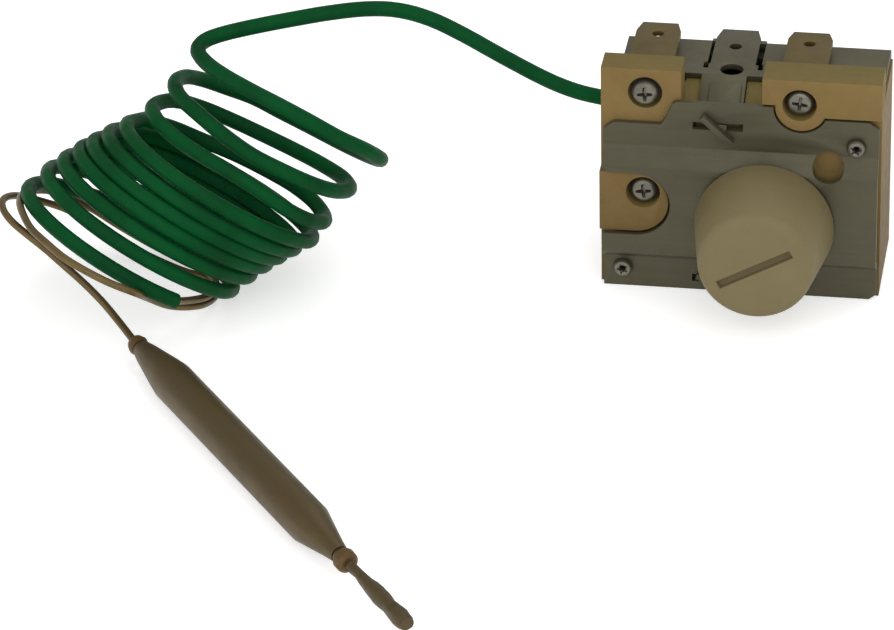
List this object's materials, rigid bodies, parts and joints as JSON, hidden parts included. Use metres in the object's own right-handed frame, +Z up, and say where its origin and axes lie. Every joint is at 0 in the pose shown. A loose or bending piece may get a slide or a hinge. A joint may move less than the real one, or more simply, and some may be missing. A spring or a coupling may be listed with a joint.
{
  "type": "safety temperature limiter",
  "caption": "Capillary temperature limiter: ceramic switch body with a steel mounting plate, control knob, push-on tabs, and a sleeved coiled capillary that ends in a slim metal bulb.",
  "frame": {"origin": "under the middle of the body (switch block, plate, knob and earth tab, without the capillary), on the surface it stands on", "axes": "+X to the right across the plate, the knob points along -Y, +Z up from the surface"},
  "size_m": [0.1224, 0.1184, 0.0376],
  "materials": {
    "ceramic": "unglazed cream ceramic, dry to the touch",
    "sheet_steel": "zinc-plated sheet, satin",
    "screw_steel": "plated, turned",
    "spring_steel": "bright spring strip",
    "tab_metal": "dull tinned brass",
    "contact_silver": "bright silver contact",
    "knob": "light grey-beige moulded plastic, satin",
    "capsule_steel": "bright stainless membrane",
    "sleeve": "green plastic sleeve, slightly glossy",
    "capillary": "drawn metal tube, dull",
    "bulb": "drawn metal tube, satin with handling marks",
    "braze": "dark brazing alloy, heat-stained"
  },
  "bodies": {
    "base": {"ceramic_base": "ceramic", "front_plate": "sheet_steel", "frame": "sheet_steel", "rivet_upper": "screw_steel", "rivet_lower": "screw_steel", "terminal_left": "tab_metal", "terminal_right": "tab_metal", "terminal_lower": "tab_metal", "terminal_screw_left": "screw_steel", "terminal_screw_right": "screw_steel", "terminal_screw_lower": "screw_steel", "washer_left": "screw_steel", "washer_right": "screw_steel", "washer_lower": "screw_steel", "spindle_bush": "screw_steel", "fixed_contact": "contact_silver", "blade_rivet": "tab_metal", "exit_ferrule": "tab_metal", "inner_capillary": "capillary", "sleeve_lead": "sleeve", "sleeve_coil": "sleeve", "capillary_tube": "capillary", "bulb_collar_upper": "braze", "bulb_body": "bulb", "bulb_collar_lower": "braze", "bulb_tail": "bulb"},
    "control": {"knob": "knob", "spindle": "screw_steel"},
    "adjuster": {"adjusting_nut": "tab_metal", "diaphragm_capsule": "capsule_steel"},
    "blade": {"contact_blade": "spring_steel", "moving_contact": "contact_silver"},
    "pin": {"push_pin": "ceramic"}
  },
  "joints": [
    {"name": "knob_turn", "type": "hinge", "parent": "base", "child": "control", "pos_m": [0.00365, -0.01215, 0.0118], "axis": [0, 1, 0], "range_deg": [-135, 135]},
    {"name": "adjuster_slide", "type": "slide", "parent": "base", "child": "adjuster", "axis": [0, 1, 0], "range_m": [-0.0001875, 0.0001875]},
    {"name": "blade_flex", "type": "hinge", "parent": "base", "child": "blade", "pos_m": [-0.01095, 0.00985, 0.0118], "axis": [0, 0, 1], "range_deg": [0, 2.2], "stiffness_Nm_per_rad": 0.005, "springref_deg": -2.86},
    {"name": "pin_slide", "type": "slide", "parent": "base", "child": "pin", "axis": [0, 1, 0], "range_m": [0, 0.00056]}
  ],
  "couplings": [
    {"joint": "knob_turn", "follows": "adjuster_slide", "rad_per_m": -12566},
    {"joint": "blade_flex", "follows": "pin_slide", "rad_per_m": 68.5}
  ]
}
